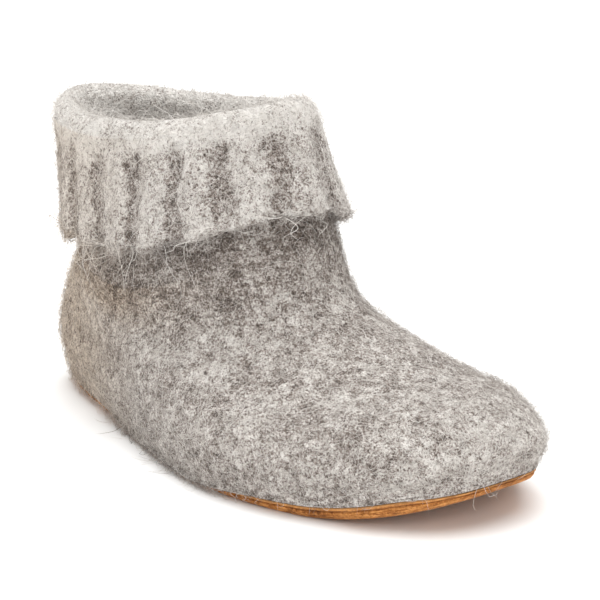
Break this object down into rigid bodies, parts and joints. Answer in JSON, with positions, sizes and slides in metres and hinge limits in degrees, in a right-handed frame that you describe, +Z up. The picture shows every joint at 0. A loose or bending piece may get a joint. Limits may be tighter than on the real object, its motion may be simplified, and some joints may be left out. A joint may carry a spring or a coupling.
{
  "type": "knitted slipper boot",
  "caption": "Ankle-high felted wool slipper boot with a turned-down ribbed cuff and a thin suede sole with toe spring, right foot.",
  "frame": {"origin": "on the floor, under the middle of the foot's length, on the underside of the sole", "axes": "+X towards the toe, +Y towards the inner side of the foot, +Z up; the outer side of this right boot faces -Y"},
  "size_m": [0.2606, 0.115, 0.1448],
  "materials": {
    "outsole": "napped suede, tan",
    "upper": "felted knitted wool, grey melange",
    "insole": "wool felt"
  },
  "bodies": {
    "root": {"outsole": "outsole", "upper": "upper", "insole": "insole"}
  },
  "joints": []
}
